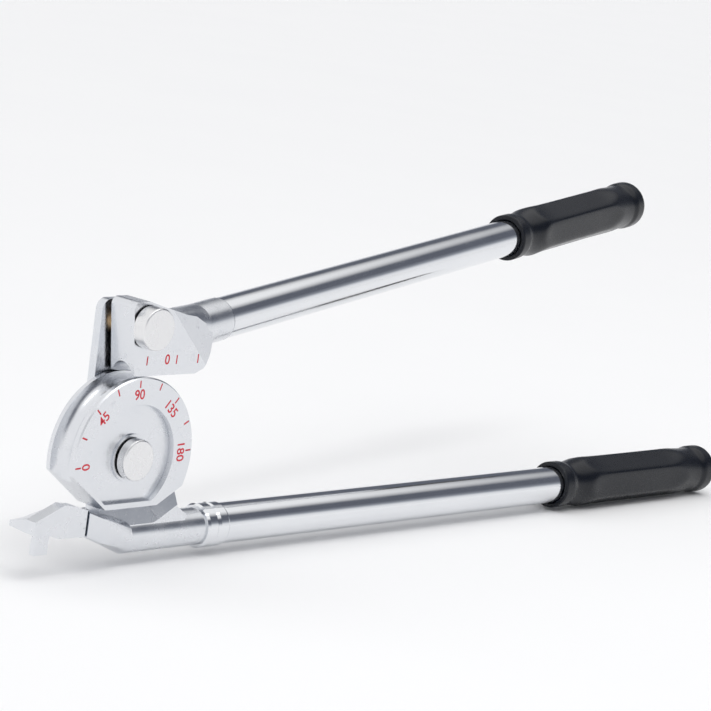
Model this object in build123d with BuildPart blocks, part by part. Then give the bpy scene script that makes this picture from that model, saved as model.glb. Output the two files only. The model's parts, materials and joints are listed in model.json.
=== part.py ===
"""Lever-type tube bender for 12 mm tube.

The tool plane is XZ.  The bending wheel's pivot axis passes through the origin
along Y, the graduated front face looks toward -Y, and the lower handle runs
along +X.  On TOOL a sketch's x is world X, its y is world Z, and a positive
offset is toward the front.
"""
from build123d import *

import os
from math import cos, radians, sin, sqrt

os.makedirs("parts", exist_ok=True)

TOOL = Plane.XZ

# ---------------------------------------------------------------- driving sizes
tube_diameter = 12.0        # tube that the tool bends
bend_radius = 38.0          # to the centre line of the bent tube
groove_clearance = 0.1      # radial, between the tube and its grooves
running_clearance = 0.03    # radial, bushes on their pins
side_clearance = 0.3        # between castings that pass each other

# bending wheel
wheel_cheek = 3.0           # wheel beyond the tube on each face
rim_width = 12.5            # from the rim to the recess
recess_depth = 3.0
recess_wall_margin = 9.3    # from the boss to the recess's straight lower wall
recess_overcut = 1.0
boss_height = 1.0
boss_margin = 1.5           # boss beyond the pin's head
flat_cut = 11.0             # depth of the flat below the zero mark
flat_angle = 233.6          # direction of that flat's normal
rim_chamfer = 0.6
zero_angle = 183.6          # direction of the wheel's zero mark
groove_arc = 208.0          # degrees of rim that the groove covers
scale_step = 22.5           # degrees of bend between two marks
scale_count = 9
mark_length = 3.4
mark_width = 0.8
mark_depth = 0.3
mark_edge = 1.2             # from the rim to the mark's outer end

# handles
handle_radius = 10.0
handle_wall = 2.0
spigot_clearance = 0.05
spigot_length = 38.0
collar_length = 15.0
collar_rise = 0.7           # collar rings beyond the tube
collar_dip = 0.1            # collar groove below the tube
upper_axis_height = 14.6    # upper handle's axis above the groove's centre, at x = 0
upper_rise = 6.4            # degrees above X, in the tool plane
upper_lean = 8.7            # degrees toward the back, so that the handles pass
grip_start = 342.0
grip_length = 149.0
grip_wall_end = 7.0
grip_lip_bevel = 0.9
grip_dome = 4.6             # radius of the rounding at the grip's end
grip_tube_step = 0.2        # the tube is turned down by this under the grip
plug_length = 14.0
plug_flange = 1.6
plug_chamfer = 0.6
# grip profile: (distance from its front end, radius beyond the tube's)
grip_front = ((0.9, 2.8), (8.0, 2.8), (11.5, 2.0), (31.0, 4.1))
# grip profile: (distance before its rear end, radius beyond the tube's)
grip_rear = ((42.0, 4.1), (20.0, 2.9), (14.0, 2.9), (10.0, 3.7), (4.6, 3.7))

# lower arm of the wheel casting
lower_axis_y = -bend_radius - 0.2
neck_step = 1.0             # neck below the tube's radius
neck_start = 6.0
neck_end = bend_radius + 18.0
web_half_thickness = 4.0
web_left = -13.5
web_right = bend_radius - 4.0
web_right_rise = 3.0        # web's right edge above the recess's lower wall
web_right_drop = 5.0
web_right_turn = 1.5
web_foot = bend_radius + 4.0            # where the web's right edge meets the neck
shoulder_lip = 2.5          # wall left between the recess and the shoulder below it
shoulder_turn = 19.0        # where the shoulder leaves the recess's wall
shoulder_rise = 28.0        # its direction from there to the rim
shoulder_drop = 9.0
shoulder_foot = 7.0         # half thickness at the shoulder's foot
disc_bottom_y = -bend_radius + 6.0
hinge_clearance = 0.15
lug_half_height = 6.2
lug_centre_y = lower_axis_y + 11.7
lug_back = 3.0
lug_bend_x = -bend_radius + 19.5
lug_bend_centre_y = lower_axis_y + 7.2
lug_corner = 1.2

# pins, bushes and washers, as steps in radius beyond the pin's
pin_radius = 5.0
wheel_pin_head_step = 4.7
wheel_pin_head_height = 4.4
shoe_pin_head_step = 4.9
ring_groove_depth = 0.8
ring_step = 3.0
washer_step = 3.6
hub_bush_wall = 2.0
shoe_bush_wall = 1.6
hub_shim_step = 7.0
thrust_washer_step = 2.6
pin_chamfer = 0.6
shoe_pin_head_height = 6.8
pin_head_round = 0.9
head_gap = 0.9              # undercut below each pin's head
ring_thickness = 1.0
ring_eye_radius = 1.4
ring_eye_spread = 120
back_washer_thickness = 0.8
pin_tail = 1.2

# link
pin_above_groove = 23.4     # shoe pin above the groove's centre
link_angle = 91.1
link_margin = 7.8           # link beyond the pin on each side
link_top_margin = 4.5       # link beyond the pin at its upper end
link_corner = 5.0
link_thickness = 5.0
link_chamfer = 0.6
hub_shim_thickness = 0.5

# forming shoe
shoe_cheek = 1.5            # shoe beyond the tube on each face
shoe_left_top = -11.0
shoe_left_bottom = -5.8
shoe_top_margin = 11.4      # shoe above its pin
shoe_top_corner = 3.5
shoe_fold_x = 27.0          # on the fold where the front face starts to lean back
shoe_fold_rise = 17.7       # that point above the shoe's lower edge
shoe_root = 20.0            # along the upper handle's axis, where the neck starts
shoe_root_height = 18.0
shoe_root_rise = 2.8
shoe_root_corner = 3.0
shoe_root_inset = 1.2
shoe_round = 46.0           # where the neck has become round
shoe_neck_step = 0.3
shoe_neck_end = 65.0
shoe_neck_bevel = 0.8
shoe_mark_xs = (1.5, 20.8, 35.0)
shoe_mark_length = 4.2
shoe_mark_rise = 5.0
# right end of the shoe's outline: (x, height above its lower edge)
shoe_end = (
    (34.0, 0),
    (39.5, 2.2),
    (44.5, 7.9),
    (47.5, 14.9),
    (47.5, 20.0),
    (34.0, 26.2),
    (26.0, 27.5),
    (8.2, 31.9),
)

# tube latch
latch_gap = 2.0             # latch plate in front of the tube, and finger behind it
latch_thickness = 6.0
knuckle_radius = 2.0
knuckle_wall = 0.9
knuckle_gap = 0.15
latch_pin_stand = 0.6
latch_hinge_inset = 7.0     # hinge inside the bend radius
leaf_step = 0.4
finger_thickness = 11.7
finger_tip_width = 5.5
finger_tip_height = 2.6
finger_tip_y = -3.1         # tip below the lug's centre
finger_draft = 0.5
tab_side = 0.7              # tab's right edge from the finger's inner face
tab_width = 8.0
tab_length = 9.8
tab_thickness = 3.0
tab_inset = 1.5

# ---------------------------------------------------------------- derived sizes
groove_radius = tube_diameter / 2 + groove_clearance
wheel_thickness = tube_diameter + 2 * wheel_cheek
shoe_thickness = tube_diameter + 2 * shoe_cheek
wheel_half = wheel_thickness / 2
shoe_half = shoe_thickness / 2
recess_floor = wheel_half - recess_depth
boss_top = recess_floor + boss_height
recess_radius = bend_radius - rim_width
flat_distance = bend_radius - flat_cut

running_radius = pin_radius + running_clearance
hub_bush_radius = pin_radius + hub_bush_wall
shoe_bush_radius = pin_radius + shoe_bush_wall
ring_radius = pin_radius + ring_step
back_washer_radius = pin_radius + washer_step
hub_shim_radius = pin_radius + hub_shim_step
thrust_washer_radius = pin_radius + thrust_washer_step
ring_groove_radius = pin_radius - ring_groove_depth
wheel_pin_head_radius = pin_radius + wheel_pin_head_step
shoe_pin_head_radius = pin_radius + shoe_pin_head_step
boss_radius = wheel_pin_head_radius + boss_margin
recess_floor_y = -boss_radius - recess_wall_margin
link_half_width = pin_radius + link_margin
link_length = bend_radius + pin_above_groove
link_top = pin_radius + link_top_margin + link_length / 2     # upper half of the plate

link_front = -(wheel_half + hub_shim_thickness)
link_back = link_front - link_thickness
washer_back = link_back - back_washer_thickness
ring_back = washer_back - ring_thickness
pin_end = ring_back - pin_tail

shoe_pin_x = link_length * cos(radians(link_angle))
shoe_pin_y = link_length * sin(radians(link_angle))
shoe_bottom_y = bend_radius + side_clearance
shoe_top_y = shoe_pin_y + shoe_top_margin
heel_radius = shoe_pin_y - shoe_bottom_y
heel_y = shoe_pin_y - sqrt(heel_radius**2 - (shoe_pin_x - shoe_left_bottom) ** 2)

tube_inner_radius = handle_radius - handle_wall
spigot_radius = tube_inner_radius - spigot_clearance
neck_radius = handle_radius - neck_step
shoe_neck_radius = handle_radius + shoe_neck_step
collar_radius = handle_radius + collar_rise
collar_neck_radius = handle_radius - collar_dip
lower_tube_start = neck_end + collar_length
tube_end = grip_start + grip_length - grip_wall_end
grip_seat_radius = handle_radius - grip_tube_step

rise = radians(upper_rise)
lean = radians(upper_lean)
lower_direction = Vector(1, 0, 0)
upper_direction = Vector(cos(rise) * cos(lean), sin(lean), sin(rise) * cos(lean))
lower_origin = Vector(0, 0, lower_axis_y)
upper_origin = Vector(0, 0, bend_radius + upper_axis_height)

latch_back = tube_diameter / 2 + latch_gap
latch_front = latch_back + latch_thickness
finger_back = -latch_back
latch_hinge_x = -bend_radius + latch_hinge_inset
hinge_offset = latch_front - knuckle_radius
latch_pin_radius = knuckle_radius - knuckle_wall
lug_top_y = lug_centre_y + lug_half_height
lug_bottom_y = lug_centre_y - lug_half_height
knuckle_third = (2 * lug_half_height - 2 * knuckle_gap) / 3
finger_inner_x = -bend_radius - tube_diameter - side_clearance
finger_reach = latch_hinge_x - finger_inner_x
latch_reach = finger_reach + finger_thickness
# latch outlines: (distance left of the hinge, height above the lug's centre)
latch_top = ((latch_reach, 2.9), (0.46 * latch_reach, 9.5), (0.21 * latch_reach, 8.3))
latch_bottom = ((latch_reach / 2, -5.8), (finger_reach + 1.7, -4.1), (latch_reach, -3.1))
finger_root = ((latch_reach, 2.9), (finger_reach, 7.3), (finger_reach, -4.3), (latch_reach, -3.1))


def from_hinge(points):
    """Sketch points of the latch, measured from its hinge and the lug's centre."""
    return [(latch_hinge_x - left, lug_centre_y + up) for left, up in points]


def profile_plane(origin, direction):
    """Plane whose x runs along a handle and whose y is the radius."""
    side = direction.cross(Vector(0, 0, 1)).normalized()
    return Plane(origin=origin, x_dir=direction, z_dir=side)


def handle_section(origin, direction, distance):
    """Plane square to a handle; its x points to the front and its y up."""
    side = direction.cross(Vector(0, 0, 1)).normalized()
    return Plane(origin=origin + direction * distance, x_dir=side, z_dir=-direction)


def turned(origin, direction, points):
    """A piece turned about a handle's axis from (distance, radius) points."""
    with BuildPart() as piece:
        with BuildSketch(profile_plane(origin, direction)):
            with BuildLine():
                Polyline(*points, close=True)
            make_face()
        revolve(axis=Axis(origin, direction))
    return piece.part


def round_plate(x, y, radius, hole, front, back):
    """A round washer, bush or disc on a pin's axis, between two offsets."""
    with BuildPart() as piece:
        with BuildSketch(TOOL.offset(back)):
            with Locations((x, y)):
                Circle(radius)
                if hole:
                    Circle(hole, mode=Mode.SUBTRACT)
        extrude(amount=front - back)
    return piece.part


def finish(piece, name):
    """Label a piece and write it."""
    piece.label = name
    export_step(piece, f"parts/{name}.step")


# ---------------------------------------------------------------- wheel casting
flat_shift = (bend_radius + flat_distance) / 2
flat_reach = bend_radius - flat_distance
zero = radians(zero_angle)
rim_zero = Vector(bend_radius * cos(zero), 0, bend_radius * sin(zero))
tangent_at_zero = Vector(-sin(zero), 0, cos(zero))
shoulder_turn_point = Vector(shoulder_turn, 0, recess_floor_y - shoulder_lip)
shoulder_slope = radians(shoulder_rise)
shoulder_plane = Plane(origin=shoulder_turn_point, x_dir=(0, -1, 0), z_dir=(1, 0, 0))
shoulder_rise_plane = Plane(
    origin=shoulder_turn_point,
    x_dir=(0, -1, 0),
    z_dir=(cos(shoulder_slope), 0, sin(shoulder_slope)),
)
shoulder_profile = (
    (wheel_thickness, 0),
    (web_half_thickness, 0),
    (shoulder_foot, shoulder_drop),
    (shoulder_foot, bend_radius),
    (wheel_thickness, bend_radius),
)

# what the shoulders below the recess cut away: a straight run, a turn and a rise to the rim
with BuildPart() as shoulder_cut:
    with BuildSketch(shoulder_plane):
        Polygon(*shoulder_profile, align=None)
    extrude(amount=-2 * bend_radius)
    with BuildSketch(shoulder_plane):
        Polygon(*shoulder_profile, align=None)
    revolve(axis=Axis(shoulder_turn_point, (0, -1, 0)), revolution_arc=shoulder_rise)
    with BuildSketch(shoulder_rise_plane):
        Polygon(*shoulder_profile, align=None)
    extrude(amount=bend_radius)
    mirror(about=Plane.XZ)

with BuildPart() as bending_wheel:
    # disc with its flat below the zero mark
    with BuildSketch(TOOL.offset(-wheel_half)):
        Circle(bend_radius)
        with Locations(Location((0, 0, 0), (0, 0, flat_angle))):
            with Locations((flat_shift, 0)):
                Rectangle(flat_reach, 2 * bend_radius, mode=Mode.SUBTRACT)
    extrude(amount=wheel_thickness)
    chamfer(bending_wheel.edges().filter_by(GeomType.CIRCLE), rim_chamfer)
    # half-round groove for the tube, from the zero mark over the top
    with BuildSketch(Plane(origin=(0, 0, 0), x_dir=rim_zero, z_dir=tangent_at_zero)):
        with Locations((bend_radius, 0)):
            Circle(groove_radius)
    revolve(axis=Axis.Y, revolution_arc=groove_arc, mode=Mode.SUBTRACT)
    # its straight lead-in below the zero mark
    with BuildSketch(Plane(origin=rim_zero, x_dir=(0, 1, 0), z_dir=tangent_at_zero)):
        Circle(groove_radius)
    extrude(amount=bend_radius, mode=Mode.SUBTRACT)
    with BuildSketch(TOOL.offset(-wheel_half)):
        with Locations((0, disc_bottom_y - bend_radius / 2)):
            Rectangle(2 * bend_radius, bend_radius)
    extrude(amount=wheel_thickness, mode=Mode.SUBTRACT)
    # web from the disc down to the neck
    with BuildSketch(TOOL.offset(-shoulder_foot)):
        with BuildLine():
            Polyline(
                (web_left, recess_floor_y),
                (web_left, lower_axis_y + neck_radius / 2),
                (neck_start, lower_axis_y),
                (web_foot, lower_axis_y),
                (web_foot, lower_axis_y + neck_radius - side_clearance),
                (web_right + web_right_turn, recess_floor_y - web_right_drop),
                (web_right, recess_floor_y + web_right_rise),
                close=True,
            )
        make_face()
    extrude(amount=2 * shoulder_foot)
    # shoulders on both faces, sloping out again toward the neck
    add(shoulder_cut.part, mode=Mode.SUBTRACT)
    # round neck
    with BuildSketch(Plane.YZ.offset(neck_start)):
        with Locations((0, lower_axis_y)):
            Circle(neck_radius)
    extrude(amount=neck_end - neck_start)
    # spigot inside the collar and the handle tube
    with BuildSketch(Plane.YZ.offset(neck_end)):
        with Locations((0, lower_axis_y)):
            Circle(spigot_radius)
    extrude(amount=collar_length + spigot_length)

# latch lug: it squares up from the neck's round section, then runs straight to the hinge
lug_depth = latch_front + lug_back
lug_middle = (latch_front - lug_back) / 2
with BuildPart() as lug:
    with BuildSketch(Plane.YZ.offset(neck_start)):
        with Locations((0, lower_axis_y)):
            Circle(neck_radius)
    with BuildSketch(Plane.YZ.offset(lug_bend_x)):
        with Locations((-lug_middle, lug_bend_centre_y)):
            RectangleRounded(lug_depth, 2 * lug_half_height, lug_corner)
    loft()
    with BuildSketch(Plane.YZ.offset(lug_bend_x)):
        with Locations((-lug_middle, lug_bend_centre_y)):
            RectangleRounded(lug_depth, 2 * lug_half_height, lug_corner)
    with BuildSketch(Plane.YZ.offset(latch_hinge_x)):
        with Locations((-lug_middle, lug_centre_y)):
            RectangleRounded(lug_depth, 2 * lug_half_height, lug_corner)
    loft()
    # room for the latch's knuckles above and below the lug's own
    with BuildSketch(Plane.XY.offset(lug_bottom_y - lug_half_height)):
        with Locations((latch_hinge_x, -hinge_offset)):
            Circle(knuckle_radius + hinge_clearance)
        with Locations((latch_hinge_x - lug_depth + knuckle_radius + hinge_clearance, -hinge_offset)):
            Rectangle(2 * lug_depth, 3 * lug_depth)
    extrude(amount=4 * lug_half_height, mode=Mode.SUBTRACT)
    with BuildSketch(Plane.XY.offset(lug_centre_y - knuckle_third / 2)):
        with Locations((latch_hinge_x, -hinge_offset)):
            Circle(knuckle_radius)
        with Locations((latch_hinge_x + knuckle_radius, (knuckle_radius + leaf_step) / 2 - hinge_offset)):
            Rectangle(2 * knuckle_radius, knuckle_radius - leaf_step)
    extrude(amount=knuckle_third)
    with Locations((latch_hinge_x, -hinge_offset, lug_centre_y)):
        Hole(latch_pin_radius, depth=2 * lug_half_height)

with BuildPart() as wheel_casting:
    add(bending_wheel.part)
    add(lug.part)
    # recess in the front face, with the boss left standing
    with BuildSketch(TOOL.offset(recess_floor)):
        Circle(recess_radius)
        with Locations((0, recess_floor_y - recess_radius)):
            Rectangle(2 * recess_radius, 2 * recess_radius, mode=Mode.SUBTRACT)
    extrude(amount=recess_depth + recess_overcut, mode=Mode.SUBTRACT)
    with BuildSketch(TOOL.offset(recess_floor)):
        Circle(boss_radius)
    extrude(amount=boss_height)
    # bore for the pivot pin
    with BuildSketch(TOOL.offset(-wheel_half)):
        Circle(pin_radius)
    extrude(amount=wheel_thickness, mode=Mode.SUBTRACT)
    # scale marks round the rim
    with BuildSketch(TOOL.offset(wheel_half - mark_depth)):
        with PolarLocations(
            bend_radius - mark_edge - mark_length / 2,
            scale_count,
            start_angle=zero_angle - scale_step * (scale_count - 1),
            angular_range=scale_step * scale_count,
        ):
            Rectangle(mark_length, mark_width)
    extrude(amount=mark_depth, mode=Mode.SUBTRACT)
finish(wheel_casting.part, "bending_wheel")

# ---------------------------------------------------------------- lower handle
collar_step = collar_length / 12
with BuildPart() as lower_collar:
    with BuildSketch(profile_plane(lower_origin, lower_direction)):
        with BuildLine():
            Polyline(
                (neck_end, spigot_radius),
                (neck_end, collar_neck_radius),
                (neck_end + collar_step, collar_radius),
                (neck_end + 5 * collar_step, collar_radius),
                (neck_end + 6 * collar_step, collar_neck_radius),
                (neck_end + 7 * collar_step, collar_radius),
                (lower_tube_start - collar_step, collar_radius),
                (lower_tube_start, handle_radius),
                (lower_tube_start, spigot_radius),
                close=True,
            )
        make_face()
    revolve(axis=Axis(lower_origin, lower_direction))
finish(lower_collar.part, "lower_collar")


def handle_tube(origin, direction, start):
    """A steel handle tube, turned down slightly where the grip sits."""
    return turned(origin, direction, [
        (start, tube_inner_radius),
        (start, handle_radius),
        (grip_start, handle_radius),
        (grip_start, grip_seat_radius),
        (tube_end, grip_seat_radius),
        (tube_end, tube_inner_radius),
    ])


def tube_plug(origin, direction):
    """The plastic plug in the end of a handle tube."""
    return turned(origin, direction, [
        (tube_end - plug_length, 0),
        (tube_end - plug_length, tube_inner_radius),
        (tube_end, tube_inner_radius),
        (tube_end, grip_seat_radius),
        (tube_end + plug_flange, grip_seat_radius - plug_chamfer),
        (tube_end + plug_flange, 0),
    ])


def grip(origin, direction):
    """A moulded grip: front lip, swelling body, waist and domed end."""
    end = grip_start + grip_length
    lip_radius = handle_radius + grip_front[0][1]
    bead_radius = handle_radius + grip_rear[-1][1]
    with BuildPart() as piece:
        with BuildSketch(profile_plane(origin, direction)):
            with BuildLine():
                Polyline(
                    *[(end - back, handle_radius + step) for back, step in reversed(grip_rear)],
                    *[(grip_start + along, handle_radius + step) for along, step in reversed(grip_front)],
                    (grip_start, lip_radius - grip_lip_bevel),
                    (grip_start, grip_seat_radius),
                    (tube_end, grip_seat_radius),
                    (tube_end + plug_flange, grip_seat_radius - plug_chamfer),
                    (tube_end + plug_flange, 0),
                    (end, 0),
                    (end, bead_radius - grip_dome),
                )
                RadiusArc((end, bead_radius - grip_dome), (end - grip_dome, bead_radius), -grip_dome)
            make_face()
        revolve(axis=Axis(origin, direction))
    return piece.part


finish(handle_tube(lower_origin, lower_direction, lower_tube_start), "lower_handle_tube")
finish(handle_tube(upper_origin, upper_direction, shoe_neck_end), "upper_handle_tube")
finish(tube_plug(lower_origin, lower_direction), "lower_tube_plug")
finish(tube_plug(upper_origin, upper_direction), "upper_tube_plug")
finish(grip(lower_origin, lower_direction), "lower_grip")
finish(grip(upper_origin, upper_direction), "upper_grip")


# ---------------------------------------------------------------- pins and rings
def headed_pin(x, y, head_radius, head_bottom, head_height):
    """A large-headed pivot pin with a retaining-ring groove at its back end."""
    with BuildPart() as pin:
        with BuildSketch(TOOL.offset(pin_end)):
            with Locations((x, y)):
                Circle(pin_radius)
        extrude(amount=head_bottom - pin_end)
        chamfer(pin.faces().sort_by(Axis.Y)[-1].edges(), pin_chamfer)
        with BuildSketch(TOOL.offset(head_bottom)):
            with Locations((x, y)):
                Circle(head_radius)
        extrude(amount=head_height)
        fillet(pin.faces().sort_by(Axis.Y)[0].edges(), pin_head_round)
        with BuildSketch(TOOL.offset(ring_back)):
            with Locations((x, y)):
                Circle(wheel_pin_head_radius)
                Circle(ring_groove_radius, mode=Mode.SUBTRACT)
        extrude(amount=ring_thickness, mode=Mode.SUBTRACT)
    return pin.part


def retaining_ring(x, y, mouth_angle):
    """An E-shaped snap ring with its mouth turned to one side."""
    with BuildPart() as ring:
        with BuildSketch(TOOL.offset(ring_back)):
            with Locations((x, y)):
                Circle(ring_radius)
                Circle(ring_groove_radius, mode=Mode.SUBTRACT)
            with Locations(Location((x, y, 0), (0, 0, mouth_angle))):
                with Locations((ring_radius / 2, 0)):
                    Rectangle(ring_radius, ring_radius - pin_chamfer, mode=Mode.SUBTRACT)
                with PolarLocations(
                    (ring_radius + ring_groove_radius) / 2, 2, ring_eye_spread, ring_eye_spread
                ):
                    Circle(ring_eye_radius, mode=Mode.SUBTRACT)
        extrude(amount=ring_thickness)
    return ring.part


pins = {
    "wheel": (0, 0, wheel_pin_head_radius, boss_top + head_gap, wheel_pin_head_height, 250),
    "shoe": (
        shoe_pin_x,
        shoe_pin_y,
        shoe_pin_head_radius,
        shoe_half + head_gap,
        shoe_pin_head_height,
        40,
    ),
}
for owner, (px, py, head_radius, head_bottom, head_height, mouth_angle) in pins.items():
    finish(headed_pin(px, py, head_radius, head_bottom, head_height), f"{owner}_pivot_pin")
    finish(retaining_ring(px, py, mouth_angle), f"{owner}_pin_ring")
    washer = round_plate(px, py, back_washer_radius, running_radius, link_back, washer_back)
    finish(washer, f"{owner}_pin_washer")

finish(round_plate(0, 0, hub_shim_radius, running_radius, -wheel_half, link_front), "hub_shim")
finish(round_plate(0, 0, hub_bush_radius, running_radius, link_front, link_back), "hub_bush")
finish(
    round_plate(shoe_pin_x, shoe_pin_y, shoe_bush_radius, running_radius, shoe_half, -shoe_half),
    "shoe_bush",
)
finish(
    round_plate(
        shoe_pin_x, shoe_pin_y, thrust_washer_radius, running_radius, -shoe_half, link_front
    ),
    "shoe_thrust_washer",
)

# ---------------------------------------------------------------- link
with BuildPart() as link_plate:
    with BuildSketch(TOOL.offset(link_back)):
        with Locations(Location((0, 0, 0), (0, 0, link_angle))):
            with Locations(((link_length - link_half_width) / 2, 0)):
                SlotCenterToCenter(link_length - link_half_width, 2 * link_half_width)
            with Locations(((link_length + link_top) / 2, 0)):
                RectangleRounded(link_top, 2 * link_half_width, link_corner)
        Circle(hub_bush_radius, mode=Mode.SUBTRACT)
        with Locations((shoe_pin_x, shoe_pin_y)):
            Circle(pin_radius, mode=Mode.SUBTRACT)
    extrude(amount=link_thickness)
    chamfer(link_plate.faces().sort_by(Axis.Y)[-1].outer_wire().edges(), link_chamfer)
finish(link_plate.part, "link_plate")

# ---------------------------------------------------------------- forming shoe
fold_point = Vector(shoe_fold_x, -shoe_half, shoe_bottom_y + shoe_fold_rise)
neck_front = upper_origin + upper_direction * shoe_round - Vector(0, shoe_neck_radius, 0)
fold_normal = Vector(1, 0, -1).cross(neck_front - fold_point)

with BuildPart() as forming_shoe:
    with BuildSketch(TOOL.offset(-shoe_half)):
        with BuildLine():
            Polyline(
                (shoe_pin_x, shoe_bottom_y),
                *[(x, shoe_bottom_y + up) for x, up in shoe_end],
                (shoe_pin_x, shoe_top_y),
                (shoe_left_top + shoe_top_corner, shoe_top_y),
            )
            RadiusArc(
                (shoe_left_top + shoe_top_corner, shoe_top_y),
                (shoe_left_top, shoe_top_y - shoe_top_corner),
                -shoe_top_corner,
            )
            Line((shoe_left_top, shoe_top_y - shoe_top_corner), (shoe_left_bottom, heel_y))
            RadiusArc((shoe_left_bottom, heel_y), (shoe_pin_x, shoe_bottom_y), -heel_radius)
        make_face()
    extrude(amount=shoe_thickness)
    # front face that leans back to the neck, above and right of a diagonal fold
    with BuildSketch(Plane(origin=fold_point, z_dir=fold_normal)):
        Rectangle(4 * bend_radius, 4 * bend_radius)
    extrude(amount=shoe_thickness, mode=Mode.SUBTRACT)
    # neck that rounds off and turns toward the leaning upper handle
    with BuildSketch(handle_section(upper_origin, upper_direction, shoe_root)):
        with Locations((shoe_root * sin(lean), shoe_root_rise)):
            RectangleRounded(shoe_thickness - 2 * shoe_root_inset, shoe_root_height, shoe_root_corner)
    with BuildSketch(handle_section(upper_origin, upper_direction, shoe_round)):
        Circle(shoe_neck_radius)
    loft()
    with BuildSketch(profile_plane(upper_origin, upper_direction)):
        with BuildLine():
            Polyline(
                (shoe_round, 0),
                (shoe_round, shoe_neck_radius),
                (shoe_neck_end - shoe_neck_bevel, shoe_neck_radius),
                (shoe_neck_end, handle_radius - shoe_neck_bevel),
                (shoe_neck_end, spigot_radius),
                (shoe_neck_end + spigot_length, spigot_radius),
                (shoe_neck_end + spigot_length, 0),
                close=True,
            )
        make_face()
    revolve(axis=Axis(upper_origin, upper_direction))
    # straight half-round groove for the tube
    with BuildSketch(Plane.YZ.offset(2 * shoe_left_top)):
        with Locations((0, bend_radius)):
            Circle(groove_radius)
    extrude(amount=4 * bend_radius, mode=Mode.SUBTRACT)
    # bore for the bush
    with BuildSketch(TOOL.offset(-shoe_half)):
        with Locations((shoe_pin_x, shoe_pin_y)):
            Circle(shoe_bush_radius)
    extrude(amount=shoe_thickness, mode=Mode.SUBTRACT)
    # marks along the front face
    with BuildSketch(TOOL.offset(shoe_half - mark_depth)):
        with Locations(*[(x, shoe_bottom_y + shoe_mark_rise + shoe_mark_length / 2) for x in shoe_mark_xs]):
            Rectangle(mark_width, shoe_mark_length)
    extrude(amount=mark_depth, mode=Mode.SUBTRACT)
finish(forming_shoe.part, "forming_shoe")

# ---------------------------------------------------------------- tube latch
with BuildPart() as tube_latch:
    # plate in front of the tube
    with BuildSketch(TOOL.offset(latch_back)):
        with BuildLine():
            Polyline(
                *from_hinge(latch_top),
                (latch_hinge_x, lug_top_y),
                (latch_hinge_x, lug_bottom_y),
                *from_hinge(latch_bottom),
                close=True,
            )
        make_face()
    extrude(amount=latch_thickness)
    # knuckles round the hinge pin, with room for the lug's knuckle between them
    with BuildSketch(Plane.XY.offset(lug_bottom_y)):
        with Locations((latch_hinge_x, -hinge_offset)):
            Circle(knuckle_radius)
    extrude(amount=2 * lug_half_height)
    with BuildSketch(Plane.XY.offset(lug_centre_y - knuckle_third / 2 - knuckle_gap)):
        with Locations((latch_hinge_x, -hinge_offset)):
            Circle(knuckle_radius + hinge_clearance)
            with Locations((knuckle_radius, 0)):
                Rectangle(2 * knuckle_radius, 6 * knuckle_radius)
    extrude(amount=knuckle_third + 2 * knuckle_gap, mode=Mode.SUBTRACT)
    with Locations((latch_hinge_x, -hinge_offset, lug_centre_y)):
        Hole(latch_pin_radius + running_clearance, depth=2 * lug_half_height)
    # finger that reaches back behind the tube's outer side
    with BuildSketch(TOOL.offset(latch_back)):
        with BuildLine():
            Polyline(*from_hinge(finger_root), close=True)
        make_face()
    with BuildSketch(TOOL.offset(finger_back)):
        with Locations((finger_inner_x - finger_draft - finger_tip_width / 2, lug_centre_y + finger_tip_y)):
            Rectangle(finger_tip_width, finger_tip_height)
    loft()
    # thumb tab
    with BuildSketch(TOOL.offset(latch_front - tab_inset - tab_thickness)):
        with Locations(
            (
                finger_inner_x - tab_side - tab_width / 2,
                lug_centre_y + finger_tip_y - tab_length / 2,
            )
        ):
            Rectangle(tab_width, tab_length)
    extrude(amount=tab_thickness)
finish(tube_latch.part, "tube_latch")

with BuildPart() as latch_pin:
    with BuildSketch(Plane.XY.offset(lug_bottom_y - latch_pin_stand)):
        with Locations((latch_hinge_x, -hinge_offset)):
            Circle(latch_pin_radius)
    extrude(amount=2 * (lug_half_height + latch_pin_stand))
finish(latch_pin.part, "latch_pin")
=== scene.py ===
"""A lever-type tube bender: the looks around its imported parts.

Every length is in metres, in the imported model's frame: the wheel's pivot axis passes
through the origin along Y, the graduated face looks toward -Y, the lower handle runs
along +X, and +Z is up.
"""

import json
from math import cos, radians, sin, tau

import bmesh
import bpy
from mathutils import Matrix, Vector


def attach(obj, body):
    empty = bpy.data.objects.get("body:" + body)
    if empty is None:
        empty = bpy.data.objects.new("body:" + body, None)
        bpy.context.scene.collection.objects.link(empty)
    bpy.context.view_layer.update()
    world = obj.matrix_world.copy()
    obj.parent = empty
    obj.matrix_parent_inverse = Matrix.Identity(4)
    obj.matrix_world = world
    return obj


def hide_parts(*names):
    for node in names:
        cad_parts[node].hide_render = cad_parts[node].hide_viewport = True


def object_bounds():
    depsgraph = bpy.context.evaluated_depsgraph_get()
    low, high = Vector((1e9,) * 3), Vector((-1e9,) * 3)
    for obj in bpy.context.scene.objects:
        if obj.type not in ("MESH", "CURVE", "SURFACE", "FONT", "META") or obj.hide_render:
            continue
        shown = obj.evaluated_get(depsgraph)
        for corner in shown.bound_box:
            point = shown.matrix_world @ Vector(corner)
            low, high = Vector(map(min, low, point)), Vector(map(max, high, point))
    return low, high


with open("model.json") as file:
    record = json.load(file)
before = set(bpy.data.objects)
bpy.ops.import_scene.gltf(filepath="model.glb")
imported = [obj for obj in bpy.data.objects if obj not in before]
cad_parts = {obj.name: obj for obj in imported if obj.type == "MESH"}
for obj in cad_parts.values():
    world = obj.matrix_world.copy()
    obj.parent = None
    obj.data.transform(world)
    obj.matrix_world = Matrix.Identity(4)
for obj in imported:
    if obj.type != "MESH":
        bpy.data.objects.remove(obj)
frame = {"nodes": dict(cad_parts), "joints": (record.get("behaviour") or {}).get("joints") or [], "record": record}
cad_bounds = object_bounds()
nodes = frame["nodes"]
mounts = {mount["name"]: mount for mount in frame["record"]["mounts"]}

MM = 0.001

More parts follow.
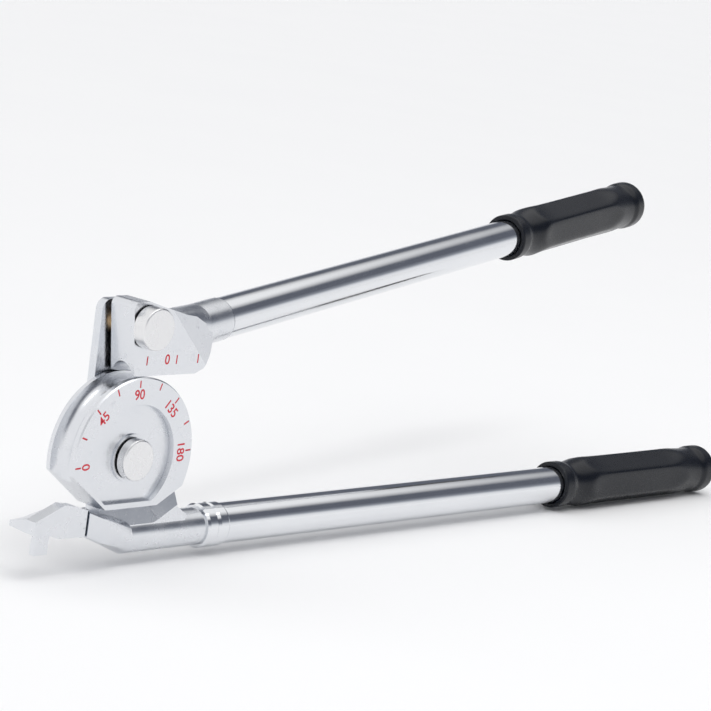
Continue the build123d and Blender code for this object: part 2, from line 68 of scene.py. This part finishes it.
# ---------------------------------------------------------------- sizes
SCALE_ZERO = 183.6          # direction of the wheel's zero mark, in degrees
SCALE_STEP = 22.5           # degrees of bend between two marks
SCALE_COUNT = 9
MARK_RADIUS = 35.1 * MM     # to the middle of a mark
MARK_LENGTH = 3.4 * MM
MARK_WIDTH = 0.8 * MM
MARK_DEPTH = 0.3 * MM
MARK_END_POINTS = 7         # in the half circle at each end of a mark
PAINT_GAP = 0.02 * MM       # left between the paint and its mark, over the whole width
PAINT_RECESS = 0.03 * MM    # from the face down to the paint's crown
PAINT_ROUNDING = 0.03 * MM  # from the crown down to the paint's edge
PAINT_CROWN = 0.86          # the crown's outline as a share of the mark's
WHEEL_FACE = 9.0 * MM       # from the middle plane to the graduated face
NUMERAL_RADIUS = 30.0 * MM
NUMERAL_HEIGHT = 4.6 * MM
NUMERAL_THICKNESS = 0.04 * MM
NUMERAL_BOLDNESS = 0.09 * MM
NUMERAL_LIFT = 0.005 * MM   # off the face
CAPITAL_SHARE = 0.70        # of the type size, the height of its figures

SHOE_FACE = 7.5 * MM
SHOE_MARKS = (1.5 * MM, 20.8 * MM, 35.0 * MM)
SHOE_MARK_HEIGHT = 45.4 * MM
SHOE_MARK_LENGTH = 4.2 * MM
SHOE_NUMERAL = 14.6 * MM

GRIP_LENGTH = 149.0 * MM
GRIP_BORE = 10.05 * MM      # radius of the grip's mouth, round the tube
GRIP_MOUTH_DEPTH = 3.0 * MM
GRIP_MOUTH_CHAMFER = 0.6 * MM
GRIP_LIP_RADIUS = 12.75 * MM
GRIP_LIP_ROUND = 0.9 * MM
GRIP_NECK_RADIUS = 11.65 * MM
GRIP_BARREL_RISE = 2.35 * MM
GRIP_WAIST_DEPTH = 1.35 * MM
GRIP_BEAD_RISE = 0.95 * MM
GRIP_DOME = 4.6 * MM        # radius of the rounding at the closed end
GRIP_PANELS = 6
GRIP_PANEL_DISTANCE = 12.65 * MM    # from the axis to a panel's floor at mid-length
GRIP_PANEL_FADE = 2.2 * MM          # how much further out the floor is where a panel ends
GRIP_PANEL_DISH = 0.15 * MM
GRIP_PANEL_SOFTNESS = 0.9 * MM      # over which a panel's edge is rounded
GRIP_PANEL_MIDDLE = 72.0 * MM       # from the mouth
GRIP_PANEL_REACH = 54.0 * MM        # half a panel's length
# the closed end's flat, its moulded ring and its vent dimple: radius and depth
GRIP_END_STEPS = ((8.2, 0.0), (7.4, 0.5), (6.6, 0.5), (5.8, 0.0), (2.2, 0.0), (1.5, 1.2), (0.4, 1.3))
GRIP_RINGS = 150
GRIP_SEGMENTS = 120

FLOOR_RADIUS = 60.0
FLOOR_GAP = 0.05 * MM       # below the lowest point of the tool

CAMERA_LENS = 142.13        # millimetres, on a sensor 36 mm wide
CAMERA_PLACE = (-0.91022, -0.86889, 0.26920)
CAMERA_TOWARD = (0.7653, 0.6226, -0.1635)
CAMERA_RIGHT = (0.6429, -0.7521, 0.1449)


# ---------------------------------------------------------------- materials
class Shader:
    """A node material with short calls for what the materials here share."""

    def __init__(self, name, **constants):
        self.material = bpy.data.materials.new(name)
        self.material.use_nodes = True
        self.tree = self.material.node_tree
        self.surface = self.tree.nodes["Principled BSDF"]
        for socket, value in constants.items():
            self.surface.inputs[socket.replace("_", " ")].default_value = value
        self.coordinates = self.add("ShaderNodeTexCoord").outputs["Object"]

    def add(self, kind, **settings):
        node = self.tree.nodes.new(kind)
        for key, value in settings.items():
            setattr(node, key, value)
        return node

    def put(self, value, socket):
        """Set a socket from a number, a colour or another node's output."""
        if isinstance(value, bpy.types.NodeSocket):
            self.tree.links.new(value, socket)
        else:
            socket.default_value = value

    def stretched(self, scale, turn=(0, 0, 0)):
        """Object coordinates, turned and then scaled per axis."""
        turned = self.add("ShaderNodeMapping", vector_type="POINT")
        self.put(self.coordinates, turned.inputs["Vector"])
        turned.inputs["Rotation"].default_value = turn
        scaled = self.add("ShaderNodeVectorMath", operation="MULTIPLY")
        self.put(turned.outputs[0], scaled.inputs[0])
        scaled.inputs[1].default_value = scale
        return scaled.outputs[0]

    def noise(self, scale, detail=3.0, roughness=0.5, vector=None):
        node = self.add("ShaderNodeTexNoise")
        self.put(vector or self.coordinates, node.inputs["Vector"])
        node.inputs["Scale"].default_value = scale
        node.inputs["Detail"].default_value = detail
        node.inputs["Roughness"].default_value = roughness
        return node.outputs["Fac"]

    def ramp(self, value, low, high, start=0.0, end=1.0):
        """Map a value from one range to another, smoothly and clamped."""
        node = self.add("ShaderNodeMapRange", interpolation_type="SMOOTHSTEP")
        self.put(value, node.inputs["Value"])
        for socket, number in zip(("From Min", "From Max", "To Min", "To Max"), (low, high, start, end)):
            self.put(number, node.inputs[socket])
        return node.outputs["Result"]

    def maths(self, operation, first, second=0.0):
        node = self.add("ShaderNodeMath", operation=operation)
        self.put(first, node.inputs[0])
        self.put(second, node.inputs[1])
        return node.outputs[0]

    def mix(self, factor, first, second):
        node = self.add("ShaderNodeMix", data_type="RGBA")
        self.put(factor, node.inputs["Factor"])
        self.put(first, node.inputs[6])
        self.put(second, node.inputs[7])
        return node.outputs[2]

    def bump(self, height, distance, strength=1.0, below=None):
        node = self.add("ShaderNodeBump")
        self.put(height, node.inputs["Height"])
        node.inputs["Distance"].default_value = distance
        node.inputs["Strength"].default_value = strength
        if below is not None:
            self.put(below, node.inputs["Normal"])
        return node.outputs["Normal"]

    def crevices(self, distance):
        """Mask for painted shade: 0 on open faces, rising to 1 in corners and grooves where shade falls."""
        node = self.add("ShaderNodeAmbientOcclusion", samples=8)
        node.inputs["Distance"].default_value = distance
        return self.maths("SUBTRACT", 1.0, node.outputs["AO"])

    def edges(self, radius):
        """Near 1 on sharp edges, 0 elsewhere."""
        rounded = self.add("ShaderNodeBevel", samples=6)
        rounded.inputs["Radius"].default_value = radius
        facing = self.add("ShaderNodeVectorMath", operation="DOT_PRODUCT")
        self.put(rounded.outputs[0], facing.inputs[0])
        self.put(self.add("ShaderNodeNewGeometry").outputs["Normal"], facing.inputs[1])
        return self.ramp(facing.outputs["Value"], 0.985, 0.85)

    def rings(self, centre, spacing):
        """Fine turned lines round an axis along Y through centre."""
        moved = self.add("ShaderNodeVectorMath", operation="SUBTRACT")
        self.put(self.coordinates, moved.inputs[0])
        moved.inputs[1].default_value = centre
        flat = self.add("ShaderNodeVectorMath", operation="MULTIPLY")
        self.put(moved.outputs[0], flat.inputs[0])
        flat.inputs[1].default_value = (1, 0, 1)
        radius = self.add("ShaderNodeVectorMath", operation="LENGTH")
        self.put(flat.outputs[0], radius.inputs[0])
        return self.maths("SINE", self.maths("MULTIPLY", radius.outputs["Value"], tau / spacing))

    def finish(self, colour=None, roughness=None, normal=None):
        for value, socket in ((colour, "Base Color"), (roughness, "Roughness"), (normal, "Normal")):
            if value is not None:
                self.put(value, self.surface.inputs[socket])
        return self.material


def plated_casting(name, smooth, rough):
    """Bright plating over a fine cast skin: soft ripples, pits, and painted shade darkening its corners."""
    shader = Shader(name, Metallic=1.0)
    crevice_shade = shader.ramp(shader.crevices(5 * MM), 0.25, 0.95)
    clouds = shader.noise(55, 4.0, 0.6)
    stain = shader.ramp(shader.noise(160, 5.0, 0.65), 0.56, 0.78)
    clean = shader.mix(clouds, (0.68, 0.70, 0.735, 1), (0.82, 0.83, 0.85, 1))
    dull = shader.mix(shader.maths("MULTIPLY", stain, 0.35), clean, (0.62, 0.64, 0.68, 1))
    # painted shade: corners and grooves are darkened toward blue-grey by the occlusion mask
    colour = shader.mix(shader.maths("MULTIPLY", crevice_shade, 0.75), dull, (0.22, 0.25, 0.31, 1))
    worn = shader.edges(0.35 * MM)
    base = shader.ramp(clouds, 0.3, 0.75, smooth, rough)
    gritty = shader.maths("ADD", base, shader.maths("MULTIPLY", stain, 0.10))
    roughness = shader.maths("SUBTRACT", gritty, shader.maths("MULTIPLY", worn, smooth * 0.5))
    skin = shader.bump(shader.noise(420, 3.0, 0.55), 0.025 * MM, 0.5)
    pits = shader.ramp(shader.noise(1500, 2.0, 0.5), 0.30, 0.20)
    normal = shader.bump(pits, -0.02 * MM, 0.35, skin)
    return shader.finish(colour, roughness, normal)


def zinc_plate():
    """Rolled plate with a faint grain and the cloudy sheen of bright zinc."""
    shader = Shader("zinc_plate", Metallic=1.0)
    grain = shader.noise(1.0, 4.0, 0.6, shader.stretched((2600, 2600, 120)))
    clouds = shader.noise(70, 5.0, 0.6)
    crevice_shade = shader.ramp(shader.crevices(6 * MM), 0.3, 0.95)
    clean = shader.mix(clouds, (0.66, 0.69, 0.74, 1), (0.84, 0.85, 0.86, 1))
    # painted shade: corners and grooves are darkened toward grey by the occlusion mask
    colour = shader.mix(shader.maths("MULTIPLY", crevice_shade, 0.7), clean, (0.24, 0.26, 0.30, 1))
    roughness = shader.ramp(shader.maths("ADD", grain, clouds), 0.6, 1.4, 0.16, 0.34)
    return shader.finish(colour, roughness, shader.bump(grain, 0.008 * MM, 0.5))


def polished_tube(name, turn):
    """Chromed tube with faint polishing lines along it and a few hairline marks."""
    shader = Shader(name, Metallic=1.0)
    along = shader.noise(1.0, 4.0, 0.6, shader.stretched((18, 2200, 2200), turn))
    hair = shader.ramp(shader.noise(1.0, 2.0, 0.4, shader.stretched((60, 5200, 5200), turn)), 0.68, 0.76)
    handled = shader.noise(38, 5.0, 0.6)
    crevice_shade = shader.ramp(shader.crevices(5 * MM), 0.35, 0.95)
    clean = shader.mix(handled, (0.76, 0.775, 0.80, 1), (0.84, 0.85, 0.87, 1))
    # painted shade: corners and joints are darkened toward blue-grey by the occlusion mask
    colour = shader.mix(shader.maths("MULTIPLY", crevice_shade, 0.7), clean, (0.20, 0.23, 0.28, 1))
    base = shader.ramp(shader.maths("ADD", along, handled), 0.6, 1.4, 0.07, 0.16)
    roughness = shader.maths("ADD", base, shader.maths("MULTIPLY", hair, 0.10))
    return shader.finish(colour, roughness, shader.bump(along, 0.006 * MM, 0.5))


def turned_steel(name, centre, light, dark, smooth, rough, spacing):
    """A faced pin or ring: concentric tool marks with a soft satin cut."""
    shader = Shader(name, Metallic=1.0)
    lines = shader.rings(centre, spacing)
    clouds = shader.noise(120, 4.0, 0.6)
    crevice_shade = shader.ramp(shader.crevices(4 * MM), 0.3, 0.95)
    clean = shader.mix(clouds, dark, light)
    # painted shade: corners and grooves are darkened toward near-black by the occlusion mask
    colour = shader.mix(shader.maths("MULTIPLY", crevice_shade, 0.75), clean, (0.10, 0.11, 0.13, 1))
    roughness = shader.ramp(clouds, 0.3, 0.7, smooth, rough)
    return shader.finish(colour, roughness, shader.bump(lines, 0.006 * MM, 0.35))


def grip_vinyl():
    """Blue-black moulded vinyl: fine leathery skin, with faint dust lighter in patches."""
    shader = Shader("grip_vinyl", Specular_IOR_Level=0.32)
    clouds = shader.noise(60, 5.0, 0.6)
    skin = shader.noise(1400, 3.0, 0.6)
    dust = shader.ramp(shader.noise(330, 6.0, 0.7), 0.60, 0.80)
    deep = shader.mix(clouds, (0.002, 0.003, 0.006, 1), (0.004, 0.006, 0.011, 1))
    colour = shader.mix(shader.maths("MULTIPLY", dust, 0.12), deep, (0.030, 0.036, 0.050, 1))
    roughness = shader.ramp(shader.maths("ADD", clouds, skin), 0.7, 1.3, 0.22, 0.34)
    soft = shader.bump(shader.noise(150, 2.0, 0.5), 0.10 * MM, 0.25)
    return shader.finish(colour, roughness, shader.bump(skin, 0.035 * MM, 0.45, soft))


def plug_plastic():
    shader = Shader("plug_plastic", Specular_IOR_Level=0.4)
    skin = shader.noise(900, 3.0, 0.6)
    colour = shader.mix(skin, (0.025, 0.026, 0.028, 1), (0.055, 0.056, 0.060, 1))
    return shader.finish(colour, shader.ramp(skin, 0.3, 0.7, 0.42, 0.6), shader.bump(skin, 0.02 * MM, 0.5))


def scale_paint():
    """Red enamel wiped into the marks: slightly uneven, chalky where it is thin."""
    shader = Shader("scale_paint", Specular_IOR_Level=0.45)
    worn = shader.ramp(shader.noise(1900, 4.0, 0.65), 0.50, 0.78)
    colour = shader.mix(worn, (0.62, 0.012, 0.030, 1), (0.78, 0.16, 0.17, 1))
    return shader.finish(colour, shader.ramp(worn, 0.0, 1.0, 0.38, 0.62),
                         shader.bump(worn, 0.02 * MM, 0.5))


def floor_white():
    shader = Shader("floor_white", Specular_IOR_Level=0.1)
    mottle = shader.noise(3.0, 4.0, 0.6)
    colour = shader.mix(mottle, (0.925, 0.925, 0.93, 1), (0.945, 0.945, 0.945, 1))
    fine = shader.noise(240, 2.0, 0.5)
    return shader.finish(colour, shader.ramp(fine, 0.3, 0.7, 0.75, 0.9), shader.bump(fine, 0.05 * MM, 0.2))


# ---------------------------------------------------------------- geometry helpers
def mesh_object(name, work, material, body, smooth):
    """Turn a bmesh into a piece that rides on a body."""
    mesh = bpy.data.meshes.new(name)
    work.to_mesh(mesh)
    work.free()
    mesh.materials.append(material)
    mesh.polygons.foreach_set("use_smooth", [smooth] * len(mesh.polygons))
    piece = bpy.data.objects.new(name, mesh)
    bpy.context.scene.collection.objects.link(piece)
    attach(piece, body)
    return piece


def polar(radius, angle):
    """A point in the tool's plane, by its distance and direction from the wheel's axis."""
    return Vector((radius * cos(angle), 0, radius * sin(angle)))


def axis_frame(origin, direction):
    """A matrix whose x axis runs along a handle from origin."""
    along = Vector(direction).normalized()
    side = along.cross(Vector((0, 0, 1))).normalized()
    matrix = Matrix((along, side.cross(along), side)).transposed().to_4x4()
    matrix.translation = Vector(origin)
    return matrix


def join_rings(work, first, second):
    """A band of faces between two closed rings of points."""
    count = len(first)
    for k in range(count):
        following = (k + 1) % count
        work.faces.new((first[k], first[following], second[following], second[k]))


def smooth_step(value, low, high):
    """0 below low, 1 above high, and an even S between."""
    t = min(max((value - low) / (high - low), 0.0), 1.0)
    return t * t * (3 - 2 * t)


def smooth_min(first, second, softness):
    """The smaller of two lengths, rounded where they cross."""
    h = max(softness - abs(first - second), 0.0) / softness
    return min(first, second) - h * h * softness / 4


# ---------------------------------------------------------------- grips
def grip_body_radius(s):
    """The grip's round outline: lip, neck, barrel, waist and end bead."""
    lip_drop = GRIP_LIP_RADIUS - GRIP_NECK_RADIUS
    lip = GRIP_LIP_RADIUS - lip_drop * smooth_step(s, 7.0 * MM, 11.5 * MM)
    barrel = GRIP_NECK_RADIUS + GRIP_BARREL_RISE * smooth_step(s, 10.0 * MM, 31.0 * MM)
    waist = GRIP_WAIST_DEPTH * smooth_step(s, 104.0 * MM, 132.0 * MM)
    bead = GRIP_BEAD_RISE * smooth_step(s, 134.0 * MM, 139.0 * MM)
    return max(lip, barrel) - waist + bead


def grip_panel_distance(s):
    """How far a shallow panel's floor stands from the axis; it runs out at both ends."""
    reach = abs(s - GRIP_PANEL_MIDDLE) / GRIP_PANEL_REACH
    return GRIP_PANEL_DISTANCE + GRIP_PANEL_FADE * reach**6


def grip_radius(s, angle):
    """The grip's surface: the round outline, cut by the panels."""
    sector = tau / GRIP_PANELS
    across = (angle % sector) - sector / 2
    panel = grip_panel_distance(s) / cos(across) - GRIP_PANEL_DISH
    return smooth_min(grip_body_radius(s), panel, GRIP_PANEL_SOFTNESS)


def grip_stations():
    """(distance, inward step) of each ring: rolled lip, body, then the domed end."""
    lip_turns = [radians(15 * k) for k in range(7)]
    dome_turns = [radians(10 * k) for k in range(1, 10)]
    body_end = GRIP_LENGTH - GRIP_DOME
    step = (body_end - GRIP_LIP_ROUND) / GRIP_RINGS
    stations = [(GRIP_LIP_ROUND * (1 - cos(a)), GRIP_LIP_ROUND * (1 - sin(a))) for a in lip_turns]
    stations += [(GRIP_LIP_ROUND + step * k, 0.0) for k in range(1, GRIP_RINGS + 1)]
    stations += [(body_end + GRIP_DOME * sin(a), GRIP_DOME * (1 - cos(a))) for a in dome_turns]
    return stations


def build_grip(name, mount_name, body, node, material):
    """Moulded grip: six shallow panels between soft ridges, a lip and a domed end."""
    mount = mounts[mount_name]
    place = axis_frame(mount["pos_m"], mount["axis"])
    angles = [tau * k / GRIP_SEGMENTS for k in range(GRIP_SEGMENTS)]
    mouth = (
        (GRIP_MOUTH_DEPTH, GRIP_BORE),
        (GRIP_MOUTH_CHAMFER, GRIP_BORE),
        (0.0, GRIP_BORE + GRIP_MOUTH_CHAMFER),
    )
    sections = [(s, [radius] * GRIP_SEGMENTS) for s, radius in mouth]
    sections += [(s, [grip_radius(min(s, GRIP_LENGTH), a) - inward for a in angles])
                 for s, inward in grip_stations()]
    sections += [(GRIP_LENGTH - depth * MM, [radius * MM] * GRIP_SEGMENTS)
                 for radius, depth in GRIP_END_STEPS]
    work = bmesh.new()
    rings = []
    for s, radii in sections:
        points = [Vector((s, r * cos(a), r * sin(a))) for a, r in zip(angles, radii)]
        rings.append([work.verts.new(place @ point) for point in points])
    for first, second in zip(rings, rings[1:]):
        join_rings(work, first, second)
    work.faces.new(list(reversed(rings[-1])))
    bmesh.ops.recalc_face_normals(work, faces=work.faces)
    grip = mesh_object(name, work, material, body, smooth=True)
    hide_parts(node)


# ---------------------------------------------------------------- scale
def add_stadium(work, centre, along, length, width, low, high):
    """A round-ended bar of paint lying in a mark, from low to high in front of the middle plane."""
    along = polar(1.0, along)
    across = Vector((-along.z, 0, along.x))
    end_radius = width / 2
    half = length / 2 - end_radius
    outline = []
    for side in (1, -1):
        for k in range(MARK_END_POINTS):
            a = radians(-90 + 180 * k / (MARK_END_POINTS - 1))
            reach = half + end_radius * cos(a)
            outline.append(centre + side * (along * reach + across * (end_radius * sin(a))))
    back = [work.verts.new(p + Vector((0, -low, 0))) for p in outline]
    edge = [work.verts.new(p + Vector((0, -high + PAINT_ROUNDING, 0))) for p in outline]
    crown = [work.verts.new(centre + (p - centre) * PAINT_CROWN + Vector((0, -high, 0))) for p in outline]
    join_rings(work, back, edge)
    join_rings(work, edge, crown)
    work.faces.new(crown)
    work.faces.new(list(reversed(back)))


def build_marks(name, places, face, length, body, material):
    """The paint in a row of engraved marks, from (centre, direction) places."""
    work = bmesh.new()
    low = face - MARK_DEPTH + PAINT_GAP / 2
    high = face - PAINT_RECESS
    for centre, direction in places:
        add_stadium(work, centre, direction, length - PAINT_GAP, MARK_WIDTH - PAINT_GAP, low, high)
    bmesh.ops.recalc_face_normals(work, faces=work.faces)
    mesh_object(name, work, material, body, smooth=False)


def numeral(name, text, centre, up, face, height, body, material):
    """A painted numeral on a front face; up is the direction its top points."""
    curve = bpy.data.curves.new(name, "FONT")
    curve.body = text
    curve.size = height / CAPITAL_SHARE
    curve.align_x = "CENTER"
    curve.align_y = "CENTER"
    curve.extrude = NUMERAL_THICKNESS / 2
    curve.offset = NUMERAL_BOLDNESS
    curve.materials.append(material)
    piece = bpy.data.objects.new(name, curve)
    bpy.context.scene.collection.objects.link(piece)
    top = polar(1.0, up)
    outward = Vector((0, -1, 0))
    turn = Matrix((top.cross(outward), top, outward)).transposed().to_4x4()
    turn.translation = Vector(centre) + outward * (face + NUMERAL_THICKNESS / 2 + NUMERAL_LIFT)
    piece.matrix_world = turn
    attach(piece, body)


def build_wheel_scale(material):
    """Nine painted marks round the wheel, and a numeral at every second one."""
    angles = [radians(SCALE_ZERO - SCALE_STEP * k) for k in range(SCALE_COUNT)]
    build_marks("wheel_mark_paint", [(polar(MARK_RADIUS, a), a) for a in angles],
                WHEEL_FACE, MARK_LENGTH, "wheel_frame", material)
    for k in range(0, SCALE_COUNT, 2):
        degrees = round(SCALE_STEP * k)
        numeral(f"wheel_numeral_{degrees}", str(degrees), polar(NUMERAL_RADIUS, angles[k]), angles[k],
                WHEEL_FACE, NUMERAL_HEIGHT, "wheel_frame", material)


def build_shoe_scale(material):
    """Three painted marks along the shoe's lower edge, and the nought beside the middle one."""
    upright = radians(90)
    places = [(Vector((x, 0, SHOE_MARK_HEIGHT)), upright) for x in SHOE_MARKS]
    build_marks("shoe_mark_paint", places, SHOE_FACE, SHOE_MARK_LENGTH, "forming_arm", material)
    numeral("shoe_numeral_0", "0", (SHOE_NUMERAL, 0, SHOE_MARK_HEIGHT), upright,
            SHOE_FACE, NUMERAL_HEIGHT, "forming_arm", material)


# ---------------------------------------------------------------- finishes of the CAD nodes
def joint_place(name):
    return next(tuple(joint["pos_m"]) for joint in frame["joints"] if joint["name"] == name)


def dress(name, material):
    for slot in nodes[name].material_slots:
        slot.link = "OBJECT"
        slot.material = material


def dress_castings_and_tubes():
    casting = plated_casting("bright_casting", 0.20, 0.32)
    for name in ("bending_wheel", "forming_shoe", "tube_latch"):
        dress(name, casting)
    dress("link_plate", zinc_plate())
    lower_chrome = polished_tube("chrome_tube", (0, 0, 0))
    for name in ("lower_collar", "lower_handle_tube"):
        dress(name, lower_chrome)
    upper_axis = Vector(mounts["upper_hand_grip"]["axis"])
    back_turn = upper_axis.to_track_quat("X", "Z").inverted().to_euler()
    dress("upper_handle_tube", polished_tube("chrome_tube_upper", tuple(back_turn)))
    plastic = plug_plastic()
    for name in ("lower_tube_plug", "upper_tube_plug"):
        dress(name, plastic)


def dress_turned_pieces():
    """Pins, washers, rings and bushes, each with its tool marks round its own pivot."""
    pivots = {"wheel": (0, 0, 0), "shoe": joint_place("shoe_pivot")}
    # light and dark of the metal, smooth and rough of the cut, and the pitch of its lines
    satin = ((0.86, 0.86, 0.86, 1), (0.76, 0.76, 0.77, 1), 0.24, 0.34, 0.22 * MM)
    washer_zinc = ((0.80, 0.81, 0.82, 1), (0.68, 0.70, 0.73, 1), 0.20, 0.34, 0.5 * MM)
    spring_steel = ((0.20, 0.21, 0.23, 1), (0.12, 0.125, 0.14, 1), 0.30, 0.45, 0.3 * MM)
    bronze = ((0.72, 0.50, 0.27, 1), (0.56, 0.36, 0.18, 1), 0.28, 0.42, 0.3 * MM)
    latch_satin = ((0.82, 0.82, 0.83, 1), (0.70, 0.70, 0.72, 1), 0.22, 0.34, 0.2 * MM)
    for owner, centre in pivots.items():
        dress(f"{owner}_pivot_pin", turned_steel(f"satin_pin_{owner}", centre, *satin))
        dress(f"{owner}_pin_washer", turned_steel(f"washer_zinc_{owner}", centre, *washer_zinc))
        dress(f"{owner}_pin_ring", turned_steel(f"spring_steel_{owner}", centre, *spring_steel))
    bronze_owners = {
        "hub_shim": "wheel",
        "hub_bush": "wheel",
        "shoe_bush": "shoe",
        "shoe_thrust_washer": "shoe",
    }
    for name, owner in bronze_owners.items():
        dress(name, turned_steel(f"bronze_{name}", pivots[owner], *bronze))
    dress("latch_pin", turned_steel("satin_pin_latch", joint_place("latch_hinge"), *latch_satin))


# ---------------------------------------------------------------- studio
def build_floor():
    """A plain pale floor just under the tool."""
    work = bmesh.new()
    bmesh.ops.create_circle(work, cap_ends=True, segments=96, radius=FLOOR_RADIUS)
    mesh = bpy.data.meshes.new("floor")
    work.to_mesh(mesh)
    work.free()
    mesh.materials.append(floor_white())
    floor = bpy.data.objects.new("floor", mesh)
    floor.location.z = cad_bounds[0][2] - FLOOR_GAP
    bpy.context.scene.collection.objects.link(floor)


def build_world():
    """A pale studio: white below and overhead, with a darker band between."""
    world = bpy.data.worlds.new("studio")
    world.use_nodes = True
    bpy.context.scene.world = world
    tree = world.node_tree
    background = tree.nodes["Background"]

    def add(kind, **settings):
        node = tree.nodes.new(kind)
        for key, value in settings.items():
            setattr(node, key, value)
        return node

    def link(first, second):
        tree.links.new(first, second)

    direction = add("ShaderNodeTexCoord").outputs["Generated"]
    split = add("ShaderNodeSeparateXYZ")
    link(direction, split.inputs[0])
    height = add("ShaderNodeValToRGB")
    shift = add("ShaderNodeMath", operation="MULTIPLY_ADD")
    link(split.outputs["Z"], shift.inputs[0])
    shift.inputs[1].default_value = 0.5
    shift.inputs[2].default_value = 0.5
    link(shift.outputs[0], height.inputs[0])
    stops = (
        (-1.0, (0.95, 0.95, 0.96)),
        (0.02, (0.95, 0.95, 0.96)),
        (0.12, (0.80, 0.81, 0.84)),
        (0.22, (0.30, 0.32, 0.36)),
        (0.34, (0.13, 0.14, 0.17)),
        (0.54, (0.12, 0.13, 0.16)),
        (0.66, (1.00, 1.00, 1.00)),
        (1.0, (1.05, 1.05, 1.05)),
    )
    elements = height.color_ramp.elements
    while len(elements) < len(stops):
        elements.new(0.5)
    for element, (sine, colour) in zip(elements, stops):
        element.position = (sine + 1) / 2
        element.color = (*colour, 1)
    # a white card fills the dark band toward -X
    open_side = add("ShaderNodeVectorMath", operation="DOT_PRODUCT")
    link(direction, open_side.inputs[0])
    open_side.inputs[1].default_value = (-0.93, 0.20, 0.30)
    card = add("ShaderNodeMapRange", interpolation_type="SMOOTHSTEP")
    link(open_side.outputs["Value"], card.inputs["Value"])
    card.inputs["From Min"].default_value = 0.25
    card.inputs["From Max"].default_value = 0.65
    filled = add("ShaderNodeMix", data_type="RGBA")
    link(card.outputs[0], filled.inputs["Factor"])
    link(height.outputs["Color"], filled.inputs[6])
    filled.inputs[7].default_value = (0.98, 0.98, 0.99, 1)
    # what the camera sees past the floor's edge is plain
    seen = add("ShaderNodeLightPath").outputs["Is Camera Ray"]
    plain = add("ShaderNodeMix", data_type="RGBA")
    link(seen, plain.inputs["Factor"])
    link(filled.outputs[2], plain.inputs[6])
    plain.inputs[7].default_value = (0.93, 0.93, 0.94, 1)
    link(plain.outputs[2], background.inputs["Color"])
    background.inputs["Strength"].default_value = 1.0


def place_light(name, light, place, target):
    lamp = bpy.data.objects.new(name, light)
    lamp.location = place
    lamp.rotation_euler = (Vector(target) - Vector(place)).to_track_quat("-Z", "Y").to_euler()
    bpy.context.scene.collection.objects.link(lamp)
    return lamp


def build_lights():
    """A broad even key that the metal doesn't mirror, and a long softbox that it does."""
    middle = (0.18, 0.0, 0.0)
    key = bpy.data.lights.new("broad_key", "SUN")
    key.energy = 0.55
    key.angle = radians(50)
    place_light("broad_key", key, (-0.8, -1.0, 2.6), middle).visible_glossy = False
    overhead = bpy.data.lights.new("overhead_softbox", "AREA")
    overhead.shape = "RECTANGLE"
    overhead.size = 1.6
    overhead.size_y = 0.16
    overhead.energy = 3.0
    place_light("overhead_softbox", overhead, (0.25, -0.75, 1.5), middle)


def build_camera():
    """On the graduated side, beyond the head and a little above, with a long lens and a slight roll."""
    camera = bpy.data.cameras.new("camera")
    camera.sensor_width = 36.0
    camera.lens = CAMERA_LENS
    camera.clip_start = 0.05
    camera.clip_end = 50.0
    eye = bpy.data.objects.new("camera", camera)
    toward = Vector(CAMERA_TOWARD).normalized()
    right = Vector(CAMERA_RIGHT)
    right = (right - toward * right.dot(toward)).normalized()
    turn = Matrix((right, right.cross(toward), -toward)).transposed().to_4x4()
    turn.translation = Vector(CAMERA_PLACE)
    eye.matrix_world = turn
    bpy.context.scene.collection.objects.link(eye)
    bpy.context.scene.camera = eye


dress_castings_and_tubes()
dress_turned_pieces()
vinyl = grip_vinyl()
build_grip("lower_grip_moulding", "lower_hand_grip", "wheel_frame", "lower_grip", vinyl)
build_grip("upper_grip_moulding", "upper_hand_grip", "forming_arm", "upper_grip", vinyl)
paint = scale_paint()
build_wheel_scale(paint)
build_shoe_scale(paint)
build_floor()
build_world()
build_lights()
build_camera()
bpy.context.scene.view_settings.view_transform = "Standard"
